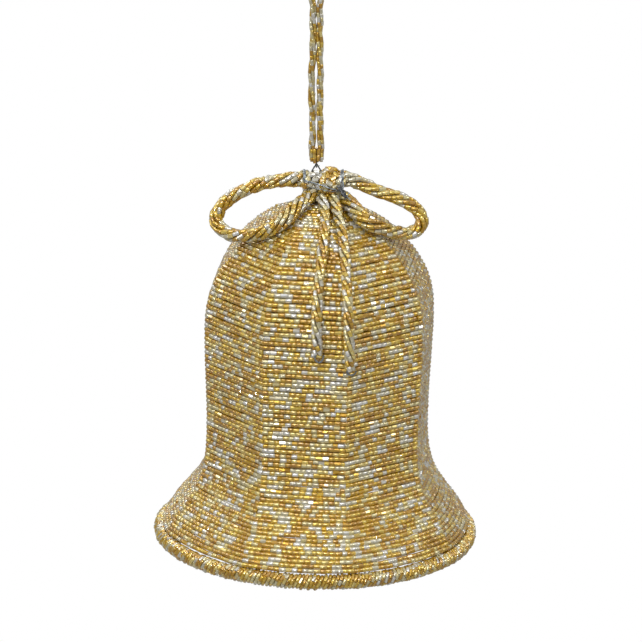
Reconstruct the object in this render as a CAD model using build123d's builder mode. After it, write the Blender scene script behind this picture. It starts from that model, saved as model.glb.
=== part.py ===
from build123d import *

import os
from math import cos, radians, sin, tan

# A beaded Christmas bell on a wire frame, hung by a beaded loop.
# Millimetres, +Z up, front towards -Y. The origin is where a hook carries the loop.
os.makedirs("parts", exist_ok=True)

# ---- wires and beads -------------------------------------------------------
bead_diameter = 2.0
rib_wire = 1.6
hoop_wire = 2.4
collar_wire = 2.0
link_wire = 0.6
bail_wire = 0.6
tie_wire_diameter = 0.7
tail_end_wire = 0.8

# ---- clearances ------------------------------------------------------------
fit_gap = 0.1        # between wires and what they lie against
soft_gap = 0.3       # between bead strands and what they lie on
link_gap = 0.1       # between two rings that hang in each other
rib_notch_gap = 0.5  # round a rib's foot where it passes through the rim's beads

# ---- the bell --------------------------------------------------------------
bell_height = 150.0          # hoop plane to collar plane
rim_radius = 67.2            # centre line of the hoop
rim_wrap_diameter = 6.5      # outside of the bead coil on the hoop
shoulder_radius = 50.1       # widest of the upper body
waist_radius = 48.6
flare_radius = 53.1
collar_radius = 5.0          # centre line of the collar
collar_below_top = 1.0
waist_above_rim = 50.0
flare_above_rim = 24.0
shoulder_below_top = 57.0
rim_turn_in = 0.9            # how far the ribs draw in just above the hoop
rim_turn_up = 2.4
dome_low_in = 1.5            # two points of the dome: in from the shoulder and up from it
dome_low_up = 17.7
dome_middle_in = 12.1
dome_middle_up = 36.6
crown_out = 16.5             # out from the collar and down from the top of the ribs
crown_down = 5.6
rib_angles = [-73, -28, 14, 60, 105, 150, 196, 241]   # from the front, towards +X

# ---- hanging ---------------------------------------------------------------
hanger_loop_diameter = 3.2
hanger_eye_drop = 89.6       # origin down to the centre of the hanger's eye
hanger_eye_radius = 1.2      # centre line
link_radius = 1.5            # centre line
gather_top_width = 6.8
gather_height = 3.1
gather_foot_diameter = 1.4
gather_foot_width = 1.7
bail_top_width = 1.0
bail_shoulder_spread = 2.3   # half the width of the inverted V where its legs turn down
bail_shoulder_drop = 2.9
collar_drop = 109.0          # origin down to the collar
collar_offset = 2.15         # the frame's axis lies beside the bail, so the bell hangs askew
lean_angle = 1.07

# ---- bow -------------------------------------------------------------------
bow_rope_diameter = 6.2
bow_tail_diameter = 4.8
knot_left = -4.5
knot_right = 10.5
knot_centre_y = -1.0
knot_drop = 100.5            # origin down to the knot's middle line
knot_end_radius = 4.3
knot_radius = 7.1
knot_bulge_x = 5.6           # where the knot is thickest
bow_rope_drop = 97.8         # origin down to where the loops leave the knot
tie_ring_stand_off = 0.9     # from the knot's end to the tie ring
twist_diameter = 1.5
spike_diameter = 0.5

# ---- places worked out from the sizes above --------------------------------
up = Vector(sin(radians(lean_angle)), 0, cos(radians(lean_angle)))
collar_centre = Vector(collar_offset, 0, -collar_drop)
bell = Plane(
    origin=collar_centre - up * bell_height,
    x_dir=Vector(up.Z, 0, -up.X),
    z_dir=up,
)
hoop_radius = hoop_wire / 2
wrap_radius = rim_wrap_diameter / 2
rib_foot = hoop_radius + fit_gap
rib_top_radius = collar_radius + collar_wire / 2 + fit_gap
panel_foot = wrap_radius + soft_gap
panel_top_radius = collar_radius + collar_wire / 2 + soft_gap

hanger_eye_z = -hanger_eye_drop
link_top_z = hanger_eye_z - hanger_eye_radius + link_wire + link_gap
link_centre_z = link_top_z - link_radius
bail_top_z = link_centre_z - link_radius + (link_wire + bail_wire) / 2 + link_gap
gather_foot_z = hanger_eye_z + hanger_eye_radius + link_wire / 2 + fit_gap
gather_top_z = gather_foot_z + gather_height


def save(piece, name):
    """Label a finished sub-part and write it under its own name."""
    piece.part.label = name
    export_step(piece.part, f"parts/{name}.step")


def outward_at(angle):
    """Unit vector square to the bell's axis, at an angle from the front towards +X."""
    return bell.x_dir.rotate(Axis((0, 0, 0), bell.z_dir), angle - 90)


def radial_plane(angle):
    """Upright plane through the bell's axis: x runs outward, y runs up the axis."""
    outward = outward_at(angle)
    return Plane(origin=bell.origin, x_dir=outward, z_dir=outward.cross(bell.z_dir))


def route_radii(points):
    """The largest tangent arc that the two runs at each corner allow."""
    radii = []
    for before, corner, after in zip(points, points[1:], points[2:]):
        run_in = Vector(corner) - Vector(before)
        run_out = Vector(after) - Vector(corner)
        half_turn = radians(run_in.get_angle(run_out)) / 2
        radii.append(0.45 * min(run_in.length, run_out.length) / tan(half_turn))
    return radii


def tube_along(points, diameter):
    """Round tube on straight runs joined by tangent arcs."""
    with BuildPart() as tube:
        with BuildLine() as line:
            FilletPolyline(*points, radius=route_radii(points))
        with BuildSketch(Plane(origin=line.line @ 0, z_dir=line.line % 0)):
            Circle(diameter / 2)
        sweep()
    return tube


def ring_about(centre, direction, radius, wire):
    """Wire ring round an axis; radius is to the middle of the wire."""
    with BuildPart() as ring:
        section_plane = Plane(
            origin=centre, x_dir=(0, 0, 1), z_dir=direction.cross(Vector(0, 0, 1))
        )
        with BuildSketch(section_plane):
            with Locations((radius, 0)):
                Circle(wire / 2)
        revolve(axis=Axis(centre, direction))
    return ring


def outline(squeeze=1.0):
    """Points of the frame's outline as (radius, height), from the hoop to the collar.

    squeeze draws the outline in towards the axis, for the flat between two ribs.
    """
    shoulder_height = bell_height - shoulder_below_top
    dome_top = bell_height - collar_below_top
    points = [
        (rim_radius, rib_foot),
        (rim_radius - rim_turn_in, rib_foot + rim_turn_up),
        (flare_radius, flare_above_rim),
        (waist_radius, waist_above_rim),
        (shoulder_radius, shoulder_height),
        (shoulder_radius - dome_low_in, shoulder_height + dome_low_up),
        (shoulder_radius - dome_middle_in, shoulder_height + dome_middle_up),
        (collar_radius + crown_out, dome_top - crown_down),
        (rib_top_radius, dome_top),
    ]
    return [(radius * squeeze, height) for radius, height in points]


# ---- rim -------------------------------------------------------------------
with BuildPart() as rim_hoop:
    with BuildSketch(radial_plane(0)):
        with Locations((rim_radius, 0)):
            Circle(hoop_radius)
    revolve(axis=Axis(bell.origin, bell.z_dir))
save(rim_hoop, "rim_hoop")

with BuildPart() as rim_bead_wrap:
    with BuildSketch(radial_plane(0)):
        with Locations((rim_radius, 0)):
            Circle(wrap_radius)
            Circle(hoop_radius + fit_gap / 2, mode=Mode.SUBTRACT)
    revolve(axis=Axis(bell.origin, bell.z_dir))
    with BuildSketch(bell.offset(hoop_radius - rib_wire / 2)):
        for rib_angle in rib_angles:
            with PolarLocations(rim_radius - rib_wire / 4, 1, start_angle=rib_angle - 90):
                Circle(rib_wire / 2 + rib_notch_gap)
    extrude(amount=wrap_radius, mode=Mode.SUBTRACT)
save(rim_bead_wrap, "rim_bead_wrap")

# ---- frame -----------------------------------------------------------------
with BuildPart() as crown_collar:
    with BuildSketch(radial_plane(0)):
        with Locations((collar_radius, bell_height - collar_below_top)):
            Circle(collar_wire / 2)
    revolve(axis=Axis(bell.origin, bell.z_dir))
save(crown_collar, "crown_collar")

for number, rib_angle in enumerate(rib_angles, start=1):
    with BuildPart() as rib:
        with BuildLine(radial_plane(rib_angle)) as rib_line:
            Spline(*outline())
        with BuildSketch(Plane(origin=rib_line.line @ 0, z_dir=rib_line.line % 0)):
            Circle(rib_wire / 2)
        sweep()
    save(rib, f"rib_{number}")

# ---- bead panels, each flat across between two ribs ------------------------
next_angles = rib_angles[1:] + [rib_angles[0] + 360]
for number, (first_angle, next_angle) in enumerate(zip(rib_angles, next_angles), start=1):
    middle = (first_angle + next_angle) / 2
    half_angle = radians(next_angle - first_angle) / 2
    rib_allowance = (rib_wire / 2 + fit_gap) / cos(half_angle)
    reach = rim_radius + bead_diameter
    with BuildPart() as bead_panel:
        with BuildSketch(radial_plane(middle)):
            with BuildLine():
                Spline(*outline(squeeze=cos(half_angle)))
            trace(line_width=bead_diameter)
        extrude(amount=reach, both=True)
        wedge_plane = Plane(
            origin=bell.origin + bell.z_dir * panel_foot,
            x_dir=outward_at(middle),
            z_dir=bell.z_dir,
        )
        with BuildSketch(wedge_plane):
            near = panel_top_radius * tan(half_angle) - rib_allowance
            far = reach * tan(half_angle) - rib_allowance
            with BuildLine():
                Polyline(
                    (panel_top_radius, near),
                    (reach, far),
                    (reach, -far),
                    (panel_top_radius, -near),
                    close=True,
                )
            make_face()
        extrude(amount=bell_height, mode=Mode.INTERSECT)
    save(bead_panel, f"bead_panel_{number}")


# ---- crown bail, an inverted V standing on the collar ----------------------
bail_shoulder_z = bail_top_z - bail_shoulder_drop
collar_top_height = bell_height - collar_below_top + collar_wire / 2 + fit_gap
collar_top = bell.origin + bell.z_dir * collar_top_height
bail_route = [
    collar_top - bell.x_dir * collar_radius,
    (-bail_shoulder_spread, 0, bail_shoulder_z),
    (-bail_top_width / 2, 0, bail_top_z),
    (bail_top_width / 2, 0, bail_top_z),
    (bail_shoulder_spread, 0, bail_shoulder_z),
    collar_top + bell.x_dir * collar_radius,
]
crown_bail = tube_along(bail_route, bail_wire)
save(crown_bail, "crown_bail")

# ---- hanger: link, eye, gathered ends and loop -----------------------------
hanger_link = ring_about(Vector(0, 0, link_centre_z), Vector(1, 0, 0), link_radius, link_wire)
save(hanger_link, "hanger_link")

hanger_eye = ring_about(Vector(0, 0, hanger_eye_z), Vector(0, 1, 0), hanger_eye_radius, link_wire)
save(hanger_eye, "hanger_eye")

with BuildPart() as hanger_gather:
    with BuildSketch(Plane.XY.offset(gather_top_z)):
        SlotOverall(gather_top_width, hanger_loop_diameter)
    with BuildSketch(Plane.XY.offset(gather_foot_z)):
        SlotOverall(gather_foot_width, gather_foot_diameter)
    loft()
save(hanger_gather, "hanger_gather")

hanger_route = [
    (-1.75, 0.0, gather_top_z + fit_gap),
    (-1.95, 0.1, -68.0),
    (-1.75, -0.1, -47.0),
    (-1.95, 0.1, -29.0),
    (-1.90, 0.0, -16.0),
    (-4.0, 0.0, -8.5),
    (-4.6, 0.0, -2.5),
    (-2.0, 0.0, hanger_loop_diameter / 2),
    (2.0, 0.0, hanger_loop_diameter / 2),
    (4.6, 0.0, -2.6),
    (4.0, 0.0, -8.6),
    (1.95, 0.0, -16.2),
    (1.75, 0.1, -30.0),
    (1.95, -0.1, -48.0),
    (1.75, 0.1, -69.0),
    (1.85, 0.0, gather_top_z + fit_gap),
]
hanger_loop = tube_along(hanger_route, hanger_loop_diameter)
save(hanger_loop, "hanger_loop")
print("hanger_loop radii", [round(radius, 1) for radius in route_radii(hanger_route)])

# ---- bow knot, threaded by the bail's legs ---------------------------------
knot_middle = Vector(0, knot_centre_y, -knot_drop)


def knot_shape(grow):
    """The knot's body, turned about its own lengthwise line."""
    with BuildPart() as body:
        with BuildSketch(Plane(origin=knot_middle, x_dir=(1, 0, 0), z_dir=(0, -1, 0))):
            with BuildLine():
                Spline(
                    (knot_left - grow, knot_end_radius + grow),
                    (knot_bulge_x, knot_radius + grow),
                    (knot_right + grow, knot_end_radius + grow),
                )
                Polyline(
                    (knot_left - grow, knot_end_radius + grow),
                    (knot_left - grow, 0),
                    (knot_right + grow, 0),
                    (knot_right + grow, knot_end_radius + grow),
                )
            make_face()
        revolve(axis=Axis(knot_middle, (1, 0, 0)))
    return body


knot_body = knot_shape(0)
knot_room = knot_shape(fit_gap)
bail_channel = tube_along(bail_route, bail_wire + 2 * fit_gap)
with BuildPart() as bow_knot:
    add(knot_body.part)
    add(bail_channel.part, mode=Mode.SUBTRACT)
save(bow_knot, "bow_knot")

# ---- bow loops, wire-stiffened ropes that leave and rejoin the knot --------
left_loop_route = [
    (knot_left + 1.0, knot_centre_y, -bow_rope_drop),
    (-13.2, -1.0, -98.6),
    (-21.4, -1.5, -99.5),
    (-29.1, -2.0, -101.5),
    (-36.0, -3.0, -105.2),
    (-41.7, -4.0, -109.9),
    (-43.8, -5.5, -113.5),
    (-43.4, -6.8, -116.4),
    (-40.3, -9.0, -119.3),
    (-35.1, -12.5, -120.5),
    (-28.6, -16.4, -119.1),
    (-21.7, -19.2, -116.0),
    (-14.4, -19.4, -111.9),
    (-9.2, -13.4, -107.4),
    (-5.0, -8.0, -105.6),
    (-2.2, -4.0, -104.0),
]
right_loop_route = [
    (knot_right - 1.0, knot_centre_y, -bow_rope_drop),
    (13.6, -1.1, -97.9),
    (19.4, -1.5, -100.2),
    (25.7, -2.0, -103.3),
    (33.0, -2.5, -105.4),
    (39.1, -3.0, -107.9),
    (44.3, -4.0, -111.7),
    (46.0, -5.0, -115.0),
    (44.7, -6.2, -118.8),
    (40.8, -7.8, -120.9),
    (34.3, -10.6, -119.4),
    (27.8, -16.6, -115.5),
    (20.9, -17.6, -112.5),
    (15.6, -10.5, -108.4),
    (12.8, -4.8, -106.0),
    (9.8, -2.5, -104.8),
]
for side, route in (("left", left_loop_route), ("right", right_loop_route)):
    rope = tube_along(route, bow_rope_diameter)
    with BuildPart() as bow_loop:
        add(rope.part)
        add(knot_room.part, mode=Mode.SUBTRACT)
    save(bow_loop, f"bow_loop_{side}")

# ---- bow tails, lying down the front of the dome ---------------------------
left_tail_route = [
    (2.2, -7.0, -104.3),
    (3.1, -11.5, -107.2),
    (3.6, -17.8, -109.6),
    (3.5, -24.0, -112.9),
    (3.1, -29.2, -116.8),
    (2.2, -36.2, -123.5),
    (1.3, -41.8, -130.7),
    (0.5, -46.2, -138.4),
    (0.0, -49.3, -146.3),
    (0.2, -50.9, -154.8),
    (0.5, -51.2, -161.1),
]
right_tail_route = [
    (7.4, -7.0, -104.3),
    (8.3, -11.2, -107.3),
    (9.2, -16.8, -110.0),
    (10.5, -23.1, -113.3),
    (11.5, -28.4, -117.0),
    (12.4, -37.8, -125.3),
    (13.1, -45.1, -134.2),
    (13.6, -49.2, -141.9),
    (14.1, -51.7, -150.0),
    (14.0, -52.6, -158.8),
    (14.4, -52.5, -167.8),
]
tail_hook_depth = {"left": 4.0, "right": 2.4}
for side, route in (("left", left_tail_route), ("right", right_tail_route)):
    rope = tube_along(route, bow_tail_diameter)
    with BuildPart() as bow_tail:
        add(rope.part)
        add(knot_room.part, mode=Mode.SUBTRACT)
    save(bow_tail, f"bow_tail_{side}")
    print(f"bow_tail_{side} radii", [round(radius, 1) for radius in route_radii(route)])
    foot = Vector(*route[-1])
    depth = tail_hook_depth[side]
    hook_route = [
        foot + Vector(-1.3, -0.3, -fit_gap),
        foot + Vector(-1.1, -0.4, -0.6 * depth),
        foot + Vector(0.6, -0.4, -depth),
        foot + Vector(2.2, -0.4, -0.6 * depth),
        foot + Vector(2.6, -0.5, -2 * fit_gap),
    ]
    tail_hook = tube_along(hook_route, tail_end_wire)
    save(tail_hook, f"tail_hook_{side}")

# ---- tie wire, round both ends of the knot and across its front ------------
tie_ring_radius = (bow_rope_diameter + tie_wire_diameter) / 2 + 2 * fit_gap
ring_places = [
    Vector(knot_left - tie_ring_stand_off, knot_centre_y, -bow_rope_drop),
    Vector(knot_right + tie_ring_stand_off, knot_centre_y, -bow_rope_drop),
]
tie_rings = [
    ring_about(place, Vector(1, 0, 0), tie_ring_radius, tie_wire_diameter) for place in ring_places
]
across_route = [
    ring_places[0] + Vector(0, -tie_ring_radius, 0),
    (-0.7, -8.0, -97.9),
    (3.2, -9.1, -98.8),
    (6.2, -9.3, -100.1),
    (9.6, -8.0, -101.2),
    (11.2, -6.6, -101.5),
]
drop_route = [
    ring_places[1] + Vector(0, -tie_ring_radius, 0),
    (11.6, -5.9, -99.6),
    (11.2, -6.6, -101.5),
]
across_wire = tube_along(across_route, tie_wire_diameter)
drop_wire = tube_along(drop_route, tie_wire_diameter)
with BuildPart() as tie_wire:
    for piece in (*tie_rings, across_wire, drop_wire):
        add(piece.part)
save(tie_wire, "tie_wire")

twist_route = [(11.4, -6.9, -101.9), (12.0, -8.2, -102.4), (12.4, -9.6, -103.4)]
spike_tips = [(14.8, -11.0, -104.6), (14.4, -9.4, -101.8), (13.6, -12.0, -103.4)]
twist_core = tube_along(twist_route, twist_diameter)
spike_roots = [(12.2, -8.9, -102.8), (12.9, -9.9, -103.3)]
spikes = [tube_along([*spike_roots, tip], spike_diameter) for tip in spike_tips]
with BuildPart() as tie_wire_twist:
    add(twist_core.part)
    for spike in spikes:
        add(spike.part)
save(tie_wire_twist, "tie_wire_twist")
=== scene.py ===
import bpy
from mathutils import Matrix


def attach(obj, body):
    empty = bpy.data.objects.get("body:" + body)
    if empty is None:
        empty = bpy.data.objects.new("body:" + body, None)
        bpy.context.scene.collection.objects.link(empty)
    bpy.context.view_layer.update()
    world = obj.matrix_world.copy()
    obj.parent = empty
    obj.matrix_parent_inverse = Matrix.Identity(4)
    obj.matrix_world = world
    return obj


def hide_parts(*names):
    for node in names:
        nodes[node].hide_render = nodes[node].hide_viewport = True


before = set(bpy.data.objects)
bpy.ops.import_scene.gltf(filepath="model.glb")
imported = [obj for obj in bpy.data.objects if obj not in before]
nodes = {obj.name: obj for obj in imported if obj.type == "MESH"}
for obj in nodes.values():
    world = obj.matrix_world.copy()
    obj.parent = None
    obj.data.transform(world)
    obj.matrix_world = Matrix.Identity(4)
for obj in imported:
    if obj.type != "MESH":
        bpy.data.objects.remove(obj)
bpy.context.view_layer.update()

import math
import random

import bmesh
import bpy
import numpy as np
from mathutils import Matrix, Vector, noise

# A Christmas bell of gold and silver glass beads strung on a wire frame.
# Sizes are in millimetres, as on the bench, and go into the meshes in metres.
MM = 0.001
scene = bpy.context.scene

# ---- camera ----------------------------------------------------------------
aim = Vector((1.957, 0.0, -163.1)) * MM
camera_distance = 3.0
camera_rise = math.radians(18.4)
seen_width = 0.2791              # of the view, at the aim
sensor_width = 36.0
camera_data = bpy.data.cameras.new("camera")
camera_data.sensor_width = sensor_width
camera_data.lens = sensor_width * camera_distance / seen_width
camera_data.clip_start = 0.1
camera_data.clip_end = 200.0
camera = bpy.data.objects.new("camera", camera_data)
camera.location = aim + camera_distance * Vector((0, -math.cos(camera_rise), math.sin(camera_rise)))
camera.rotation_euler = (math.pi / 2 - camera_rise, 0, 0)
scene.collection.objects.link(camera)
scene.camera = camera

# ---- sizes shared with the part --------------------------------------------
bell_height = 150.0
rim_radius = 67.2
rim_wrap_radius = 3.25
collar_centre = Vector((2.15, 0.0, -109.0))
lean = math.radians(1.07)
rib_angles = [-73, -28, 14, 60, 105, 150, 196, 241]
up = Vector((math.sin(lean), 0, math.cos(lean)))
side = Vector((up.z, 0, -up.x))
bell_origin = collar_centre - up * bell_height
outline_points = [
    (67.2, 1.3),
    (66.3, 3.7),
    (53.1, 24.0),
    (48.6, 50.0),
    (50.1, 93.0),
    (48.6, 110.7),
    (38.0, 129.6),
    (21.5, 143.4),
    (6.1, 149.0),
]

# ---- bead sizes ------------------------------------------------------------
wall_pitch = 2.04                # from row to row
flare_pitch = 1.8
panel_bead = (2.12, 2.5)         # diameter, length
rim_bead = (1.62, 2.4)
rope_bead = (2.0, 2.7)
tail_bead = (1.9, 2.5)
hanger_bead = (1.55, 2.1)
length_spread = (0.8, 1.2)       # bead lengths, as shares of the usual one
diameter_spread = (0.96, 1.03)
tilt_spread = 0.012
bead_fill = 0.99                 # share of its place that a bead fills
stray_wobble = 0.55              # how far a stray bead may stand off its thread
patch_pull = 0.9                 # how far patches decide between gold and silver
bead_pull = 0.36                 # how far single beads do
colour_spread = 0.42             # of the two together

# ---- fine wire sizes --------------------------------------------------------
strand_wire = 0.32
lashing_wire = 0.36
binding_wire = 0.36
loose_end_wire = 0.34
gather_wire = 0.45
link_twist_wire = 0.4


def outward_at(angle):
    """Unit vector square to the bell's axis, at an angle in degrees from the front."""
    turn = Matrix.Rotation(math.radians(angle - 90), 3, up)
    return turn @ side


def on_bell(angle, radius, height):
    return bell_origin + outward_at(angle) * radius + up * height


# ---- lines -----------------------------------------------------------------
def route_line(name, route, steps=12):
    """Points read from the NURBS spline of a route, in millimetres."""
    curve = bpy.data.curves.new(name, "CURVE")
    curve.dimensions = "3D"
    curve.resolution_u = steps
    spline = curve.splines.new("NURBS")
    spline.points.add(len(route) - 1)
    for point, place in zip(spline.points, route):
        point.co = (*(Vector(place) * MM), 1.0)
    spline.order_u = 3
    spline.use_endpoint_u = True
    holder = bpy.data.objects.new(name, curve)
    scene.collection.objects.link(holder)
    bpy.context.view_layer.update()
    mesh = bpy.data.meshes.new_from_object(holder)
    points = [vertex.co / MM for vertex in mesh.vertices]
    points = [
        point for point, after in zip(points, points[1:] + [None])
        if after is None or (point - after).length > 1e-4
    ]
    bpy.data.objects.remove(holder)
    bpy.data.curves.remove(curve)
    bpy.data.meshes.remove(mesh)
    return points


class Line:
    """A polyline in millimetres that is walked by distance."""

    def __init__(self, points):
        self.points = np.array([tuple(p) for p in points], float)
        steps = np.linalg.norm(np.diff(self.points, axis=0), axis=1)
        self.far = np.concatenate(([0.0], np.cumsum(steps)))
        self.length = float(self.far[-1])

    def at(self, distance):
        return Vector([float(np.interp(distance, self.far, self.points[:, k])) for k in range(3)])

    def even(self, step):
        count = max(2, round(self.length / step) + 1)
        return [self.at(d) for d in np.linspace(0, self.length, count)]


def smooth_through(points, step):
    """Even steps along the smooth line that passes through the points."""
    given = np.array(points, float)
    runs = np.linalg.norm(np.diff(given, axis=0), axis=1)
    count = len(given)
    system = np.eye(count)
    pull = np.zeros_like(given)
    for k in range(1, count - 1):
        system[k, k - 1:k + 2] = runs[k - 1], 2 * (runs[k - 1] + runs[k]), runs[k]
        pull[k] = 6 * ((given[k + 1] - given[k]) / runs[k] - (given[k] - given[k - 1]) / runs[k - 1])
    bend = np.linalg.solve(system, pull)
    fine = []
    for k, run in enumerate(runs):
        t = np.linspace(0, run, 30, endpoint=False)[:, None]
        back = run - t
        fine.append(
            (bend[k] * back**3 + bend[k + 1] * t**3) / (6 * run)
            + (given[k] / run - bend[k] * run / 6) * back
            + (given[k + 1] / run - bend[k + 1] * run / 6) * t
        )
    fine = np.concatenate([*fine, given[-1:]])
    along = np.concatenate(([0.0], np.cumsum(np.linalg.norm(np.diff(fine, axis=0), axis=1))))
    places = np.arange(0, along[-1], step)
    return [(float(np.interp(s, along, fine[:, 0])), float(np.interp(s, along, fine[:, 1]))) for s in places]


def frames_along(points):
    """(point, side, lift) at every point of a line, carried along without twist."""
    tangents = []
    for k in range(len(points)):
        before = points[max(k - 1, 0)]
        after = points[min(k + 1, len(points) - 1)]
        tangents.append((after - before).normalized())
    across = tangents[0].orthogonal().normalized()
    frames = []
    for point, tangent in zip(points, tangents):
        across = (across - tangent * across.dot(tangent)).normalized()
        frames.append((point, across, tangent.cross(across)))
    return frames


def twisted_strands(points, count, radius, pitch, start=0.0, rng=None, rough=0.0):
    """Lines of a rope's strands round a line.

    radius is a size, or a function of how far along the line, from 0 to 1.
    """
    frames = frames_along(points)
    far = Line(points).far
    strands = []
    for number in range(count):
        phase = rng.uniform(0, 100) if rng else 0.0
        strand = []
        for (point, across, lift), distance in zip(frames, far):
            share = distance / far[-1]
            reach = radius(share) if callable(radius) else radius
            reach += rough * noise.noise(Vector((distance * 0.16, phase, 0)))
            angle = start + math.tau * (number / count - distance / pitch)
            angle += 0.6 * rough * noise.noise(Vector((distance * 0.1, phase, 7)))
            strand.append(point + across * (reach * math.cos(angle)) + lift * (reach * math.sin(angle)))
        strands.append(strand)
    return strands


# ---- materials -------------------------------------------------------------
def new_material(name):
    material = bpy.data.materials.new(name)
    material.use_nodes = True
    tree = material.node_tree
    shader = tree.nodes["Principled BSDF"]
    return material, tree, shader


def add_node(tree, kind, **values):
    node = tree.nodes.new(kind)
    for key, value in values.items():
        setattr(node, key, value)
    return node


def ramp_node(tree, stops, source):
    ramp = add_node(tree, "ShaderNodeValToRGB")
    elements = ramp.color_ramp.elements
    while len(elements) < len(stops):
        elements.new(1.0)
    for element, (place, colour) in zip(elements, stops):
        element.position = place
        element.color = (*colour, 1.0)
    tree.links.new(source, ramp.inputs["Fac"])
    return ramp.outputs["Color"]


def grey(value):
    return (value, value, value)


wrap_middle = 0.45               # where a bead's waist lies on its wrap
wrap_stretch = 0.6               # how much of the wrap its length takes


def build_glass_flow():
    """Node group: streaks drawn out along a bead, and how far a point is from its waist."""
    group = bpy.data.node_groups.new("glass_flow", "ShaderNodeTree")
    group.interface.new_socket("Streaks", in_out="INPUT", socket_type="NodeSocketFloat")
    group.interface.new_socket("Mask", in_out="OUTPUT", socket_type="NodeSocketFloat")
    group.interface.new_socket("End", in_out="OUTPUT", socket_type="NodeSocketFloat")
    inside = add_node(group, "NodeGroupInput")
    outside = add_node(group, "NodeGroupOutput")
    wrap = add_node(group, "ShaderNodeUVMap", uv_map="bead_wrap")
    place = add_node(group, "ShaderNodeTexCoord")
    stretch = add_node(group, "ShaderNodeMapping")
    stretch.inputs["Scale"].default_value = (4.5, 0.7, 1.0)
    group.links.new(wrap.outputs["UV"], stretch.inputs["Vector"])
    body = add_node(group, "ShaderNodeMapping")
    body.inputs["Scale"].default_value = (300.0, 300.0, 300.0)
    group.links.new(place.outputs["Object"], body.inputs["Vector"])
    shift = add_node(group, "ShaderNodeVectorMath", operation="ADD")
    group.links.new(stretch.outputs["Vector"], shift.inputs[0])
    group.links.new(body.outputs["Vector"], shift.inputs[1])
    streaks = add_node(group, "ShaderNodeTexNoise")
    streaks.inputs["Detail"].default_value = 2.0
    group.links.new(inside.outputs["Streaks"], streaks.inputs["Scale"])
    group.links.new(shift.outputs["Vector"], streaks.inputs["Vector"])
    group.links.new(streaks.outputs["Fac"], outside.inputs["Mask"])
    parts = add_node(group, "ShaderNodeSeparateXYZ")
    group.links.new(wrap.outputs["UV"], parts.inputs["Vector"])
    middle = add_node(group, "ShaderNodeMath", operation="SUBTRACT")
    middle.inputs[1].default_value = wrap_middle
    group.links.new(parts.outputs["Y"], middle.inputs[0])
    away = add_node(group, "ShaderNodeMath", operation="ABSOLUTE")
    group.links.new(middle.outputs["Value"], away.inputs[0])
    group.links.new(away.outputs["Value"], outside.inputs["End"])
    return group


glass_flow = build_glass_flow()


def bead_glass(name, tones, glass_end_and_shade_colour, dark_vein, bright_vein, roughness, metallic):
    """Silver-lined glass: a tone for each bead, streaks along it, and ends and bore painted darker, partly
    the glass's own colour there and partly painted shade.
    """
    material, tree, shader = new_material(name)
    tone = add_node(tree, "ShaderNodeAttribute", attribute_name="bead_tone")
    colour = ramp_node(tree, tones, tone.outputs["Fac"])
    flow = add_node(tree, "ShaderNodeGroup", node_tree=glass_flow)
    flow.inputs["Streaks"].default_value = 1.3
    veins = add_node(tree, "ShaderNodeMix", data_type="RGBA", blend_type="MULTIPLY")
    veins.inputs[0].default_value = 1.0
    vein_stops = [(0.36, dark_vein), (0.5, (0.92, 0.88, 0.78)), (0.64, bright_vein)]
    vein_colour = ramp_node(tree, vein_stops, flow.outputs["Mask"])
    tree.links.new(colour, veins.inputs[6])
    tree.links.new(vein_colour, veins.inputs[7])
    # darker ends and bore: partly the glass's own colour at its ends, partly painted shade at the bead ends
    # and inside the bore
    ends = add_node(tree, "ShaderNodeMix", data_type="RGBA")
    glass_end_and_shade_mask = ramp_node(tree, [(0.29, grey(0.0)), (0.33, grey(0.35))], flow.outputs["End"])
    tree.links.new(glass_end_and_shade_mask, ends.inputs[0])
    tree.links.new(veins.outputs[2], ends.inputs[6])
    ends.inputs[7].default_value = (*glass_end_and_shade_colour, 1.0)
    tree.links.new(ends.outputs[2], shader.inputs["Base Color"])
    rough_stops = [(0.3, grey(roughness * 1.5)), (0.7, grey(roughness * 0.7))]
    rough = ramp_node(tree, rough_stops, flow.outputs["Mask"])
    tree.links.new(rough, shader.inputs["Roughness"])
    shader.inputs["Metallic"].default_value = metallic
    shader.inputs["Coat Weight"].default_value = 1.0
    shader.inputs["Coat Roughness"].default_value = 0.05
    shader.inputs["Coat IOR"].default_value = 1.85
    return material


def wire_metal(name, bright, dull, roughness, scale):
    """Drawn wire with tarnish in patches and fine scratches along it."""
    material, tree, shader = new_material(name)
    place = add_node(tree, "ShaderNodeTexCoord")
    patches = add_node(tree, "ShaderNodeTexNoise")
    patches.inputs["Scale"].default_value = scale
    patches.inputs["Detail"].default_value = 4.0
    tree.links.new(place.outputs["Object"], patches.inputs["Vector"])
    colour = ramp_node(tree, [(0.35, dull), (0.62, bright)], patches.outputs["Fac"])
    tree.links.new(colour, shader.inputs["Base Color"])
    rough_stops = [(0.3, grey(roughness * 1.5)), (0.7, grey(roughness * 0.75))]
    rough = ramp_node(tree, rough_stops, patches.outputs["Fac"])
    tree.links.new(rough, shader.inputs["Roughness"])
    scratches = add_node(tree, "ShaderNodeTexNoise")
    scratches.inputs["Scale"].default_value = scale * 9
    tree.links.new(place.outputs["Object"], scratches.inputs["Vector"])
    bump = add_node(tree, "ShaderNodeBump")
    bump.inputs["Strength"].default_value = 0.25
    bump.inputs["Distance"].default_value = 0.0001
    tree.links.new(scratches.outputs["Fac"], bump.inputs["Height"])
    tree.links.new(bump.outputs["Normal"], shader.inputs["Normal"])
    shader.inputs["Metallic"].default_value = 0.95
    return material


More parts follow.
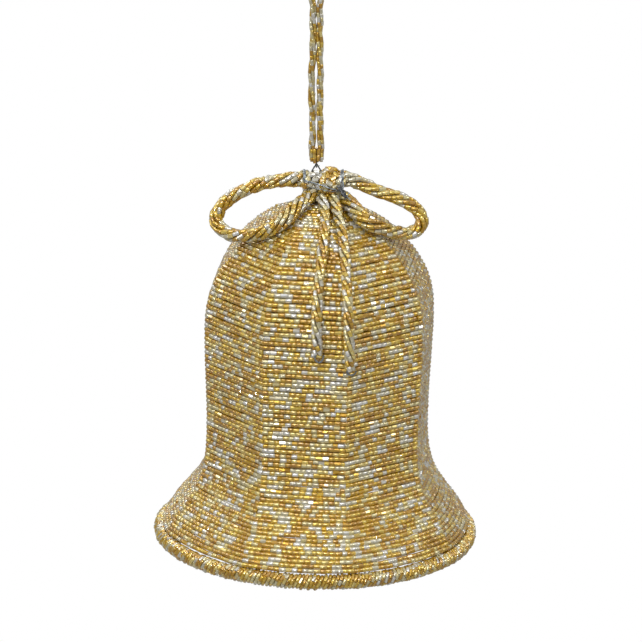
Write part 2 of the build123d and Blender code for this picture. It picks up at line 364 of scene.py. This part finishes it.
gold_tones = [
    (0.0, (0.47, 0.262, 0.004)),
    (0.4, (0.56, 0.342, 0.008)),
    (0.75, (0.65, 0.455, 0.04)),
    (1.0, (0.68, 0.55, 0.18)),
]
silver_tones = [
    (0.0, (0.62, 0.55, 0.28)),
    (0.45, (0.60, 0.57, 0.44)),
    (1.0, (0.66, 0.66, 0.64)),
]
gold_glass = bead_glass(
    "gold_glass", gold_tones, glass_end_and_shade_colour=(0.46, 0.26, 0.02),
    dark_vein=(0.76, 0.64, 0.40), bright_vein=(1.14, 1.18, 1.30), roughness=0.22, metallic=0.5,
)
silver_glass = bead_glass(
    "silver_glass", silver_tones, glass_end_and_shade_colour=(0.44, 0.42, 0.36),
    dark_vein=(0.80, 0.75, 0.64), bright_vein=(1.14, 1.15, 1.18), roughness=0.22, metallic=0.5,
)
frame_metal = wire_metal("brass_frame_wire", (0.30, 0.19, 0.06), (0.12, 0.07, 0.025), 0.45, 320)
strand_metal = wire_metal("fine_gold_wire", (0.55, 0.38, 0.12), (0.25, 0.15, 0.05), 0.35, 500)
dark_metal = wire_metal("dark_steel_wire", (0.20, 0.21, 0.22), (0.06, 0.065, 0.07), 0.38, 600)
tie_metal = wire_metal("blue_grey_tie_wire", (0.36, 0.40, 0.43), (0.15, 0.17, 0.19), 0.33, 500)

# ---- one bead, turned from its section --------------------------------------
bead_sides = 8
hole_radius = 0.36               # share of the bead's radius
end_radius = 0.93                # share of the bead's radius
chamfer = 0.035                  # share of the bead's length
tone_steps = 6


def bead_template(name, material, cut):
    """A bead of radius 1 and length 1 along Z, with its hole and a wrap of its whole skin.

    Only the wall of an uncut bead is smooth; a cut bead shows its flat sides.
    """
    bm = bmesh.new()
    section = [
        (hole_radius, -0.5),
        (end_radius, -0.5),
        (1.0, chamfer - 0.5),
        (1.0, 0.5 - chamfer),
        (end_radius, 0.5),
        (hole_radius, 0.5),
    ]
    corners = [bm.verts.new((radius, 0, height)) for radius, height in section]
    edges = [bm.edges.new((a, b)) for a, b in zip(corners, corners[1:] + corners[:1])]
    bmesh.ops.spin(
        bm, geom=corners + edges, cent=(0, 0, 0), axis=(0, 0, 1),
        angle=math.tau, steps=bead_sides, use_merge=True, use_duplicate=False,
    )
    bmesh.ops.remove_doubles(bm, verts=bm.verts, dist=1e-5)
    bmesh.ops.recalc_face_normals(bm, faces=bm.faces)
    wrap = bm.loops.layers.uv.new("bead_wrap")
    for face in bm.faces:
        centre = face.calc_center_median()
        out_from_middle = Vector((centre.x, centre.y)).length
        hole = out_from_middle < hole_radius * 0.98
        wall = out_from_middle > 0.9 and abs(centre.z) < 0.1
        middle = math.atan2(centre.y, centre.x)
        for loop in face.loops:
            co = loop.vert.co
            turn = (math.atan2(co.y, co.x) - middle + math.pi) % math.tau - math.pi
            radius = Vector((co.x, co.y)).length
            in_from_end = max(0.0, 1.0 - radius) * 0.2
            # the bore is put in the darker end band of the wrap: painted shade inside the hole
            if hole:
                v = 1.0 if co.z < 0 else 0.9
            else:
                v = wrap_middle + wrap_stretch * co.z + math.copysign(in_from_end, co.z)
            loop[wrap].uv = ((middle + turn) / math.tau, v)
        face.smooth = wall and not cut
        face.material_index = 0
    mesh = bpy.data.meshes.new(name)
    bm.to_mesh(mesh)
    bm.free()
    mesh.materials.append(material)
    return mesh


bead_meshes = {}
for colour_name, glass in (("gold", gold_glass), ("silver", silver_glass)):
    for cut in (False, True):
        first = bead_template(f"{colour_name}_bead", glass, cut)
        for step in range(tone_steps):
            copy = first.copy()
            tone = copy.attributes.new("bead_tone", "FLOAT", "POINT")
            tone.data.foreach_set("value", [step / (tone_steps - 1)] * len(copy.vertices))
            bead_meshes[colour_name, cut, step] = copy
        bpy.data.meshes.remove(first)
bead_corners = len(bead_meshes["gold", False, 0].loops)


def hand_over(piece, body, replaced):
    """Set the piece's body and the CAD nodes that it stands for."""
    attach(piece, body)
    if replaced:
        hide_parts(*replaced)


class Beads:
    """Collects beads for one piece."""

    def __init__(self, name, seed):
        self.name = name
        self.rng = random.Random(seed)
        self.places = []

    def thread(
        self, points, size, silver=0.38, patch=7.0, lane=0.0, clear=0.0, stray=0.02, loose=0.08, cut=0.15
    ):
        """String beads closely along a line.

        silver, stray and cut are chances; patch is the length of a patch of one colour, lane picks the
        patches, clear is left bare at both ends, and loose is how far a bead may sit off the line.
        """
        rng = self.rng
        line = Line(points)
        diameter, length = size
        count = max(1, round((line.length - 2 * clear) / length))
        lengths = [rng.uniform(*length_spread) for _ in range(count)]
        fit = (line.length - 2 * clear) / sum(lengths)
        walked = clear
        for share in lengths:
            long = share * fit
            start, end = line.at(walked), line.at(walked + long)
            walked += long
            along = end - start
            if along.length < 1e-6:
                continue
            middle = (start + end) / 2
            across = along.orthogonal().normalized()
            wobble = stray_wobble if rng.random() < stray else loose
            swing = Matrix.Rotation(rng.uniform(0, math.tau), 3, along.normalized())
            middle += (swing @ across) * rng.uniform(0, wobble)
            patchy = noise.noise(Vector((walked / patch, lane * 0.55, 3.7 * lane % 11.0)))
            paleness = (patchy * patch_pull + rng.gauss(0, bead_pull) - threshold(silver)) / colour_spread
            is_silver = paleness > 0
            tone = paleness / 1.3 if is_silver else 1 + paleness / 1.7
            tone += rng.gauss(0, 0.1) + 0.2 * noise.noise(middle / 14.0)
            step = min(tone_steps - 1, max(0, int(tone * tone_steps)))
            colour_name = "silver" if is_silver else "gold"
            mesh = bead_meshes[colour_name, rng.random() < cut, step]
            tilt = Matrix.Rotation(rng.gauss(0, tilt_spread), 3, across)
            turn = (tilt @ along).to_track_quat("Z", "Y").to_matrix().to_4x4()
            roll = Matrix.Rotation(rng.uniform(0, math.tau), 4, "Z")
            wide = diameter * rng.uniform(*diameter_spread) / 2
            shape = Matrix.Diagonal((wide, wide, long * bead_fill, 1.0))
            place = Matrix.Translation(middle) @ turn @ roll @ shape
            self.places.append((mesh, Matrix.Diagonal((MM, MM, MM, 1.0)) @ place))

    def finish(self, body="bell", replaced=()):
        """Join the beads into one piece."""
        piece = bpy.data.objects.new(self.name, bpy.data.meshes.new(self.name))
        piece.data.materials.append(gold_glass)
        piece.data.materials.append(silver_glass)
        scene.collection.objects.link(piece)
        loose = []
        for mesh, place in self.places:
            bead = bpy.data.objects.new("bead", mesh)
            bead.matrix_world = place
            scene.collection.objects.link(bead)
            loose.append(bead)
        everything = [piece, *loose]
        with bpy.context.temp_override(
            active_object=piece, selected_objects=everything, selected_editable_objects=everything
        ):
            bpy.ops.object.join()
        lay_out_beads(piece.data)
        hand_over(piece, body, replaced)
        return piece


def threshold(share):
    """The level that the colour noise passes with this chance."""
    return colour_spread * math.sqrt(2) * inverse_erf(1 - 2 * share)


def inverse_erf(value):
    """Found by halving, which is close enough after forty steps."""
    low, high = -3.0, 3.0
    for _ in range(40):
        middle = (low + high) / 2
        if math.erf(middle) < value:
            low = middle
        else:
            high = middle
    return low


def lay_out_beads(mesh):
    """Give every bead a cell of its own on one map, so that its finish can be baked."""
    wrap = mesh.uv_layers["bead_wrap"]
    flat = np.zeros(len(mesh.loops) * 2, np.float32)
    wrap.data.foreach_get("uv", flat)
    flat = flat.reshape(-1, 2)
    cell = np.arange(len(flat)) // bead_corners
    columns = math.ceil(math.sqrt(cell[-1] + 1))
    low = flat.reshape(-1, bead_corners, 2).min(axis=1)[cell]
    high = flat.reshape(-1, bead_corners, 2).max(axis=1)[cell]
    inside = 0.04 + 0.92 * (flat - low) / (high - low)
    laid = (inside + np.stack((cell % columns, cell // columns), axis=1)) / columns
    layer = mesh.uv_layers.new(name="OFBake")
    layer.data.foreach_set("uv", laid.astype(np.float32).ravel())
    wrap.active = True


def wire_piece(name, lines, thickness, metal, body="bell", replaced=()):
    """Fine wires along lines, drawn as curves and made one mesh."""
    curve = bpy.data.curves.new(name, "CURVE")
    curve.dimensions = "3D"
    curve.bevel_depth = thickness / 2 * MM
    curve.bevel_resolution = 1
    curve.use_fill_caps = True
    for points in lines:
        spline = curve.splines.new("POLY")
        spline.points.add(len(points) - 1)
        for point, place in zip(spline.points, points):
            point.co = (*(Vector(place) * MM), 1.0)
    drawn = bpy.data.objects.new(name + "_drawn", curve)
    scene.collection.objects.link(drawn)
    bpy.context.view_layer.update()
    mesh = bpy.data.meshes.new_from_object(drawn)
    bpy.data.objects.remove(drawn)
    bpy.data.curves.remove(curve)
    mesh.name = name
    mesh.materials.clear()
    mesh.materials.append(metal)
    mesh.polygons.foreach_set("use_smooth", [True] * len(mesh.polygons))
    piece = bpy.data.objects.new(name, mesh)
    scene.collection.objects.link(piece)
    hand_over(piece, body, replaced)


# ---- hanging cord and bow tails --------------------------------------------
gather_top_z = -84.9
hanger_route = [
    (-1.75, 0.0, gather_top_z + 0.1),
    (-1.75, 0.1, -76.0),
    (-1.5, 0.1, -70.0),
    (-2.1, 0.0, -62.0),
    (-2.1, -0.1, -51.0),
    (-1.4, -0.1, -42.0),
    (-1.45, 0.1, -28.0),
    (-1.5, 0.0, -17.0),
    (-5.6, 0.0, -9.5),
    (-6.9, 0.0, -3.5),
    (-4.2, 0.0, 1.9),
    (4.2, 0.0, 1.9),
    (6.9, 0.0, -3.6),
    (5.6, 0.0, -9.6),
    (1.5, 0.0, -17.2),
    (1.4, 0.1, -29.0),
    (1.4, -0.1, -42.0),
    (1.75, -0.1, -52.0),
    (1.4, 0.1, -64.0),
    (1.6, 0.1, -72.0),
    (1.85, 0.0, gather_top_z + 0.1),
]
left_tail_route = [
    (2.2, -7.0, -104.3),
    (3.1, -11.5, -107.2),
    (3.6, -17.8, -109.6),
    (3.5, -24.0, -112.9),
    (3.1, -29.2, -116.8),
    (2.2, -36.2, -123.5),
    (1.3, -41.8, -130.7),
    (0.5, -46.2, -138.4),
    (0.0, -49.3, -146.3),
    (0.2, -50.9, -154.8),
    (0.5, -51.2, -161.1),
]
right_tail_route = [
    (7.4, -7.0, -104.3),
    (8.3, -11.2, -107.3),
    (9.2, -16.8, -110.0),
    (10.5, -23.1, -113.3),
    (11.5, -28.4, -117.0),
    (12.4, -37.8, -125.3),
    (13.1, -45.1, -134.2),
    (13.6, -49.2, -141.9),
    (14.1, -51.7, -150.0),
    (14.0, -52.6, -158.8),
    (14.4, -52.5, -167.8),
]

hanger_line = route_line("hanger_line", hanger_route)
hanger_strands = twisted_strands(hanger_line, 3, 0.86, 34.0, start=0.4, rough=0.3)
hanger = Beads("hanger_loop_beads", 11)
for number, strand in enumerate(hanger_strands):
    hanger.thread(strand, hanger_bead, silver=0.42, patch=4.0, lane=number * 3.1, stray=0.03, loose=0.1)
hanger_piece = hanger.finish("hanger", ["hanger_loop"])

for side_name, route, tail_length, seed in (
    ("left", left_tail_route, 0.077, 21),
    ("right", right_tail_route, 0.084, 22),
):
    tail_line = route_line(f"{side_name}_tail_line", route)
    tail = Beads(f"bow_tail_{side_name}_beads", seed)
    for number, strand in enumerate(
        twisted_strands(tail_line, 4, 1.5, 24.0, start=1.0, rng=tail.rng, rough=0.5)
    ):
        tail.thread(strand, tail_bead, silver=0.46, patch=6.0, lane=40 + number, stray=0.1, loose=0.2)
    tail_piece = tail.finish("bell", [f"bow_tail_{side_name}"])

# ---- bead rows on the bell -------------------------------------------------
first_row_height = 4.1
flare_top, wall_foot = 20.0, 45.0   # the row pitch changes between these heights
row_stand_off = 0.75             # rows pass a little outside the ribs' middle
fine_outline = smooth_through(outline_points, 0.05)
rows = []
walked = 0.0
due = 0.0
for before, point in zip(fine_outline, fine_outline[1:]):
    walked += math.dist(before, point)
    if point[1] > first_row_height and walked >= due:
        rows.append(point)
        share = min(1.0, max(0.0, (point[1] - flare_top) / (wall_foot - flare_top)))
        due = walked + flare_pitch + (wall_pitch - flare_pitch) * share
swell_share = [0.68, 0.93, 0.84, 0.88, 0.75, 0.84, 0.78, 0.88]   # of a full round, at the rim
swell_height = 38.0
corner_reach = 0.5               # how far a row runs past a rib's middle
row_step = 3                     # between the points of a row's line
# share of silver beads in each panel; the front panel's larger share is partly painted highlight, standing
# in for the glints of the lights it faces
silver_and_painted_glint_share = [0.27, 0.36, 0.27, 0.27, 0.27, 0.27, 0.27, 0.27]
lashing_radius = 0.98
lashing_climb = 0.9
lashing_sides = 8
next_angles = rib_angles[1:] + [rib_angles[0] + 360]


def row_slope(row):
    """The outline's direction at a row, as (out, up)."""
    before = rows[max(row - 1, 0)]
    after = rows[min(row + 1, len(rows) - 1)]
    return Vector((after[0] - before[0], after[1] - before[1])).normalized()


for number, (first_angle, next_angle) in enumerate(zip(rib_angles, next_angles), start=1):
    panel = Beads(f"bead_rows_{number}", 100 + number)
    rng = panel.rng
    middle_out = outward_at((first_angle + next_angle) / 2)
    half_gap = math.radians(next_angle - first_angle) / 2
    row_lines = []
    for row, (radius, height) in enumerate(rows):
        slope = row_slope(row)
        out_radius = radius + row_stand_off * slope.y
        out_height = height - row_stand_off * slope.x
        start = on_bell(first_angle, out_radius, out_height)
        end = on_bell(next_angle, out_radius, out_height)
        run = end - start
        full_round = radius * (1 - math.cos(half_gap))
        swell = swell_share[number - 1] * full_round * max(0.0, 1 - height / swell_height)
        swell += rng.uniform(0.0, 0.3)
        sway = rng.uniform(-0.2, 0.2)
        ripple = rng.uniform(0.03, 0.17)
        phase = rng.uniform(0, math.tau)
        steps = max(4, int(run.length / row_step))
        line = []
        for k in range(steps + 1):
            share = k / steps
            hump = 4 * share * (1 - share)
            wave = ripple * math.sin(phase + share * run.length / 2.6)
            outward = middle_out * (swell * hump + 0.5 * wave)
            line.append(start + run * share + outward + up * (sway * hump + wave))
        line[0] -= run.normalized() * corner_reach
        line[-1] += run.normalized() * corner_reach
        row_lines.append(line)
        gap = 0.75 * rng.random() ** 3
        panel.thread(
            line, panel_bead, silver=silver_and_painted_glint_share[number - 1], loose=0.05, cut=0.1, patch=6.5,
            lane=number * 200 + row, clear=gap,
        )
    panel.finish("bell", [f"bead_panel_{number}"])
    wire_piece(f"row_wires_{number}", row_lines, strand_wire, strand_metal)

    # a turn of fine wire ties every row to the rib at the panel's first side
    rings = []
    out = outward_at(first_angle)
    flat = out.cross(up).normalized()
    for row, (radius, height) in enumerate(rows):
        slope = row_slope(row)
        along = out * slope.x + up * slope.y
        across = along.cross(out.cross(up)).normalized()
        centre = on_bell(first_angle, radius, height)
        ring = []
        for k in range(lashing_sides + 1):
            angle = math.tau * k / lashing_sides
            climb = (k / lashing_sides - 0.5) * lashing_climb
            beside_rib = flat * (lashing_radius * math.cos(angle))
            off_rib = across * (lashing_radius * math.sin(angle))
            ring.append(centre + beside_rib + off_rib + along * climb)
        rings.append(ring)
    wire_piece(f"rib_lashing_{number}", rings, lashing_wire, strand_metal)

# ---- rim, a bead strand coiled round the hoop ------------------------------
rim = Beads("rim_coil_beads", 301)
coil_turns = 260
coil_steps = 12                  # to a turn
coil_stand_off = 0.35            # of the beads' outside from the CAD ring's
coil_radius = rim_wrap_radius + coil_stand_off - rim_bead[0] / 2
coil = []
for k in range(coil_turns * coil_steps + 1):
    turn = k / coil_steps
    angle = 360.0 * turn / coil_turns
    spin = math.tau * turn
    reach = coil_radius + 0.55 * noise.noise(Vector((turn * 0.9, math.cos(spin), math.sin(spin))))
    lag = 0.9 * noise.noise(Vector((turn * 0.08, 5.0, 0.0))) + 0.95 * math.sin(spin)
    coil.append(on_bell(angle + lag, rim_radius + reach * math.cos(spin), reach * math.sin(spin)))
rim.thread(coil, rim_bead, silver=0.3, patch=9.0, lane=900, stray=0.05, loose=0.14)
rim.finish("bell", ["rim_bead_wrap"])

# ---- bow loops -------------------------------------------------------------
left_loop_route = [
    (-3.5, -1.0, -97.8),
    (-13.2, -1.0, -98.6),
    (-21.4, -1.5, -99.5),
    (-29.1, -2.0, -101.5),
    (-36.0, -3.0, -105.2),
    (-41.7, -4.0, -109.9),
    (-43.8, -5.5, -113.5),
    (-43.4, -6.8, -116.4),
    (-40.3, -9.0, -119.3),
    (-35.1, -12.5, -120.5),
    (-28.6, -16.4, -119.1),
    (-21.7, -19.2, -116.0),
    (-14.4, -19.4, -111.9),
    (-9.2, -13.4, -107.4),
    (-5.0, -8.0, -105.6),
    (-2.2, -4.0, -104.0),
]
right_loop_route = [
    (9.5, -1.0, -97.8),
    (13.6, -1.1, -97.9),
    (19.4, -1.5, -100.2),
    (25.7, -2.0, -103.3),
    (33.0, -2.5, -105.4),
    (39.1, -3.0, -107.9),
    (44.3, -4.0, -111.7),
    (46.0, -5.0, -115.0),
    (44.7, -6.2, -118.8),
    (40.8, -7.8, -120.9),
    (34.3, -10.6, -119.4),
    (27.8, -16.6, -115.5),
    (20.9, -17.6, -112.5),
    (15.6, -10.5, -108.4),
    (12.8, -4.8, -106.0),
    (9.8, -2.5, -104.8),
]


def rope_spread(share):
    """The reach of a loop's strands: wider where it leaves the knot, and looser on its way back."""
    looser = max(0.0, share - 0.62) / 0.38 * (1 - max(0.0, share - 0.85) / 0.15)
    return 2.15 + 0.9 * looser + 0.75 * max(0.0, 1 - share / 0.12)


for side_name, route, seed in (("left", left_loop_route, 31), ("right", right_loop_route, 32)):
    loop_line = Line(route_line(f"{side_name}_loop_line", route)).even(1.2)
    rope = Beads(f"bow_loop_{side_name}_beads", seed)
    for number, strand in enumerate(
        twisted_strands(loop_line, 6, rope_spread, 31.0, rng=rope.rng, rough=0.45)
    ):
        rope.thread(strand, rope_bead, silver=0.36, patch=8.0, lane=60 + number, stray=0.09, loose=0.16)
    rope.thread(loop_line, rope_bead, lane=70)
    rope.finish("bell", [f"bow_loop_{side_name}"])

# ---- knot ------------------------------------------------------------------
knot = Beads("bow_knot_beads", 41)
winding_steps = 14               # to a turn
last_turn_place = 0.86           # how near a winding comes to the lump's ends


def wind_ball(middle, half_sizes, turns, lean_out, silver, seed):
    """Wind a bead strand round and round into a lump, every turn tilted its own way."""
    winding = []
    for k in range(turns * winding_steps + 1):
        turn = k / winding_steps
        spin = math.tau * turn
        along = last_turn_place * math.sin(math.pi * (turn / turns - 0.5))
        reach = math.sqrt(1 - along * along) * (1 + 0.12 * noise.noise(Vector((turn * 1.1, seed, 2.0))))
        tilt = lean_out * noise.noise(Vector((turn * 0.35, seed, 9.0)))
        ring = Vector((0.0, -math.cos(spin) * reach, math.sin(spin) * reach))
        ring.x = along + tilt * math.sin(spin + 2.4 * noise.noise(Vector((turn * 0.2, seed, 4.0))))
        winding.append(middle + Vector([r * h for r, h in zip(ring, half_sizes)]))
    knot.thread(winding, rope_bead, silver=silver, patch=5.0, lane=80 + seed, stray=0.1, loose=0.3)


wind_ball(Vector((-0.4, -1.3, -100.3)), (4.6, 4.7, 4.6), 7, 0.9, 0.82, 1.0)
wind_ball(Vector((0.2, -1.2, -100.6)), (3.2, 3.2, 3.2), 3, 0.6, 0.7, 3.0)
wind_ball(Vector((6.0, -1.0, -100.2)), (4.9, 6.1, 6.2), 8, 1.1, 0.33, 6.0)
wind_ball(Vector((5.6, -1.0, -100.4)), (3.6, 4.6, 4.7), 4, 0.8, 0.3, 12.0)


def tuck_beads(middle, half_sizes, count, silver, lane):
    """Beads standing every way on the skin of a lump."""
    rng = knot.rng
    for number in range(count):
        rise = 1 - 2 * (number + 0.5) / count
        spin = number * math.pi * (3 - math.sqrt(5))
        flat = math.sqrt(1 - rise * rise)
        out = Vector((rise, flat * math.cos(spin), flat * math.sin(spin)))
        place = middle + Vector([o * h for o, h in zip(out, half_sizes)])
        along = Matrix.Rotation(rng.uniform(0, math.pi), 3, out) @ out.orthogonal().normalized()
        along = (along + out * rng.uniform(-0.25, 0.25)) * rope_bead[1] / 2
        knot.thread([place - along, place + along], rope_bead, silver=silver, lane=lane + number, cut=0.5)


tuck_beads(Vector((-0.4, -1.3, -100.2)), (4.9, 5.0, 5.0), 44, 0.85, 200)
tuck_beads(Vector((6.0, -1.0, -100.2)), (4.8, 6.5, 6.6), 56, 0.38, 300)
knot.finish("bell", ["bow_knot"])

# ---- wire that binds the knot ----------------------------------------------
wire_rng = random.Random(61)
wrap_steps = 16                  # to a turn
strut_steps = 12
twist_steps = 40
twist_turns = 3.5


def wire_wrap(centre, radius, turns, width, seed):
    """Turns of wire hugging a rope that runs along X."""
    line = []
    for k in range(turns * wrap_steps + 1):
        turn = k / wrap_steps
        spin = math.tau * turn + 2.0
        reach = radius + 0.2 * noise.noise(Vector((turn, seed, 0.0)))
        sway = width * noise.noise(Vector((turn * 0.8, seed, 3.0))) + 0.25 * width * math.sin(spin + seed)
        line.append(centre + Vector((sway, -reach * math.cos(spin), reach * math.sin(spin))))
    return line


binding = [
    wire_wrap(Vector((-5.1, -1.0, -98.0)), 3.8, 3, 0.8, 1.0),
    wire_wrap(Vector((10.7, -1.0, -98.4)), 4.1, 3, 1.0, 5.0),
]
for first, last, bow in (
    ((-5.0, -5.4, -99.6), (10.8, -7.6, -101.9), 2.2),
    ((-4.8, -4.6, -98.0), (0.6, -6.3, -99.4), 0.6),
    ((10.4, -6.6, -96.9), (11.0, -7.8, -102.0), 0.8),
):
    strut = []
    for k in range(strut_steps + 1):
        share = k / strut_steps
        sag = Vector((0, -bow * math.sin(math.pi * share), 0.35 * noise.noise(Vector((k * 0.5, bow, 1.0)))))
        strut.append(Vector(first).lerp(Vector(last), share) + sag)
    binding.append(strut)
wire_piece("knot_binding_wire", binding, binding_wire, tie_metal)

ends = []
for number in range(3):
    twisted = []
    for k in range(twist_steps + 1):
        share = k / twist_steps
        spin = math.tau * (twist_turns * share + number / 3)
        middle = Vector((9.6, -7.9, -99.2)).lerp(Vector((12.5, -9.9, -103.3)), share)
        reach = 0.75 + 0.5 * noise.noise(Vector((share * 5, number, 0.0)))
        twisted.append(middle + Vector((math.cos(spin), 0.6 * math.sin(spin), 0.4 * math.sin(spin))) * reach)
    ends.append(twisted)
for number in range(16):
    root = Vector((9.6, -8.2, -99.6)).lerp(Vector((12.6, -10.0, -103.4)), wire_rng.random())
    away = Vector((wire_rng.uniform(-0.6, 1.1), wire_rng.uniform(-1.0, 0.1), wire_rng.uniform(-1.1, 0.5)))
    away = away.normalized() * wire_rng.uniform(0.9, 2.1)
    crook = Vector((wire_rng.uniform(-0.4, 0.4), 0.0, wire_rng.uniform(-0.4, 0.4)))
    ends.append([root, root + away * 0.5 + crook, root + away])
wire_piece("knot_wire_ends", ends, loose_end_wire, dark_metal)

# ---- a stray curl and a bead between the tails -----------------------------
curl = Beads("dome_curl_beads", 71)
curl_line = [
    Vector((6.3, -24.6, -116.6)),
    Vector((7.0, -26.4, -118.0)),
    Vector((6.9, -28.2, -119.6)),
    Vector((7.2, -30.0, -121.4)),
]
curl.thread(curl_line, (1.7, 1.5), silver=0.97, lane=5, stray=0.0, loose=0.3, cut=0.6)
gold_bead_line = [Vector((6.6, -31.4, -123.0)), Vector((8.3, -31.5, -123.2))]
curl.thread(gold_bead_line, (1.9, 1.8), silver=0.03, lane=9, cut=1.0)
curl.finish("bell")

# ---- carried-over wires ----------------------------------------------------
rib_names = [f"rib_{number}" for number in range(1, len(rib_angles) + 1)]
for metal, names in (
    (frame_metal, [*rib_names, "rim_hoop", "crown_collar"]),
    (dark_metal, ["hanger_eye", "hanger_link", "crown_bail"]),
    (tie_metal, ["tie_wire", "tie_wire_twist", "tail_hook_left", "tail_hook_right"]),
):
    for name in names:
        nodes[name].data.materials.clear()
        nodes[name].data.materials.append(metal)

# ---- hanger's gathered ends ------------------------------------------------
eye_top = Vector((0.0, 0.0, -87.9))
gather_lines = []
for strand in hanger_strands:
    for end, inner in ((strand[0], strand[3]), (strand[-1], strand[-4])):
        direction = (end - inner).normalized()
        low = eye_top + Vector((end.x * 0.12, end.y * 0.3, 0.0))
        halfway = (end + low) / 2 + Vector((end.x * 0.12, 0, -0.2))
        gather_lines.append([inner, end, end + direction * 0.7, halfway, low])
wire_piece(
    "hanger_gather_wires", gather_lines, gather_wire, dark_metal,
    body="hanger", replaced=["hanger_gather"],
)

# the last beads of every strand hang down round the eye like a short brush
brush = Beads("hanger_end_beads", 51)
brush_threads = 9
beside_link = 2.65               # the end beads pass the link at this distance
for number in range(brush_threads):
    spin = math.tau * (number + 0.3) / brush_threads
    top = Vector((2.55 * math.cos(spin), 1.35 * math.sin(spin), gather_top_z + 0.2))
    drop = brush.rng.uniform(5.0, 6.0)
    foot_y = beside_link if abs(top.x) < 2.0 else abs(top.y) + 0.3
    foot = Vector((top.x * 0.92, math.copysign(foot_y, top.y), top.z - drop))
    brush.thread([top, foot], hanger_bead, silver=0.3, patch=3.0, lane=20 + number, stray=0.0, loose=0.12)
brush.finish("hanger")

# a wire twisted round the link, with its two cut ends
link_front = Vector((0.0, -1.5, -91.4))
link_turns = 3
link_turn_steps = 12
link_twist_radius = 0.52
twist = []
for k in range(link_turns * link_turn_steps + 1):
    turn = k / link_turn_steps
    spin = math.tau * turn
    around = Vector((link_twist_radius * math.cos(spin), link_twist_radius * math.sin(spin), -0.24 * turn))
    twist.append(link_front + around)
cut_ends = [
    [link_front + Vector(place) for place in ((0.3, -0.4, -0.4), (0.8, -0.6, -0.5), (1.3, -0.7, -0.4))],
    [link_front + Vector(place) for place in ((-0.3, -0.4, -0.6), (-0.8, -0.6, -0.8), (-1.2, -0.7, -0.8))],
]
wire_piece("link_twist_wire", [twist, *cut_ends], link_twist_wire, dark_metal, body="link")

# ---- floor and light -------------------------------------------------------
floor_height = -2.5              # metres, far enough down to be clear of low views
floor_reach = 30.0
floor_mesh = bmesh.new()
bmesh.ops.create_grid(floor_mesh, x_segments=1, y_segments=1, size=floor_reach)
floor_data = bpy.data.meshes.new("floor")
floor_mesh.to_mesh(floor_data)
floor_mesh.free()
floor = bpy.data.objects.new("floor", floor_data)
floor.location = (0, 0, floor_height)
scene.collection.objects.link(floor)
paper, paper_tree, paper_shader = new_material("floor_paper")
paper_shader.inputs["Base Color"].default_value = (0.5, 0.5, 0.5, 1)
paper_shader.inputs["Roughness"].default_value = 0.9
lit_paper = add_node(paper_tree, "ShaderNodeEmission")
lit_paper.inputs["Color"].default_value = (1, 1, 1, 1)
paper_seen = add_node(paper_tree, "ShaderNodeLightPath")
paper_mix = add_node(paper_tree, "ShaderNodeMixShader")
paper_tree.links.new(paper_seen.outputs["Is Camera Ray"], paper_mix.inputs[0])
paper_tree.links.new(paper_shader.outputs["BSDF"], paper_mix.inputs[1])
paper_tree.links.new(lit_paper.outputs["Emission"], paper_mix.inputs[2])
paper_tree.links.new(paper_mix.outputs["Shader"], paper_tree.nodes["Material Output"].inputs["Surface"])
floor_data.materials.append(paper)

world = bpy.data.worlds.new("studio")
world.use_nodes = True
room = world.node_tree
room_light = room.nodes["Background"]
way = add_node(room, "ShaderNodeTexCoord")
parts = add_node(room, "ShaderNodeSeparateXYZ")
room.links.new(way.outputs["Generated"], parts.inputs["Vector"])
sky = ramp_node(room, [(0.0, grey(0.26)), (0.35, grey(0.48)), (1.0, grey(0.85))], parts.outputs["Z"])
room.links.new(sky, room_light.inputs["Color"])
room_light.inputs["Strength"].default_value = 1.0
white_wall = add_node(room, "ShaderNodeBackground")
white_wall.inputs["Color"].default_value = (1, 1, 1, 1)
seen = add_node(room, "ShaderNodeLightPath")
room_mix = add_node(room, "ShaderNodeMixShader")
room.links.new(seen.outputs["Is Camera Ray"], room_mix.inputs[0])
room.links.new(room_light.outputs["Background"], room_mix.inputs[1])
room.links.new(white_wall.outputs["Background"], room_mix.inputs[2])
room.links.new(room_mix.outputs["Shader"], room.nodes["World Output"].inputs["Surface"])
scene.world = world


def soft_light(name, azimuth, rise, distance, size, power):
    """An area light, its size given as width and height."""
    light = bpy.data.lights.new(name, "AREA")
    light.shape = "RECTANGLE"
    light.size, light.size_y = size
    light.energy = power
    lamp = bpy.data.objects.new(name, light)
    a, e = math.radians(azimuth), math.radians(rise)
    way = Vector((math.sin(a) * math.cos(e), -math.cos(a) * math.cos(e), math.sin(e)))
    lamp.location = aim + way * distance
    lamp.rotation_mode = "QUATERNION"
    lamp.rotation_quaternion = way.to_track_quat("Z", "Y")
    scene.collection.objects.link(lamp)


soft_light("key_strip", -15, 48, 2.4, (1.9, 0.34), 27)
soft_light("flash", -13, 22, 2.8, (0.12, 0.12), 9)
soft_light("left_strip", -92, 32, 2.4, (1.5, 0.34), 8)
soft_light("right_strip", 82, 34, 2.4, (1.5, 0.34), 12)
soft_light("back_softbox", 200, 40, 2.6, (1.4, 0.8), 14)
scene.view_settings.view_transform = "Standard"

for mesh in bead_meshes.values():
    if mesh.users == 0:
        bpy.data.meshes.remove(mesh)
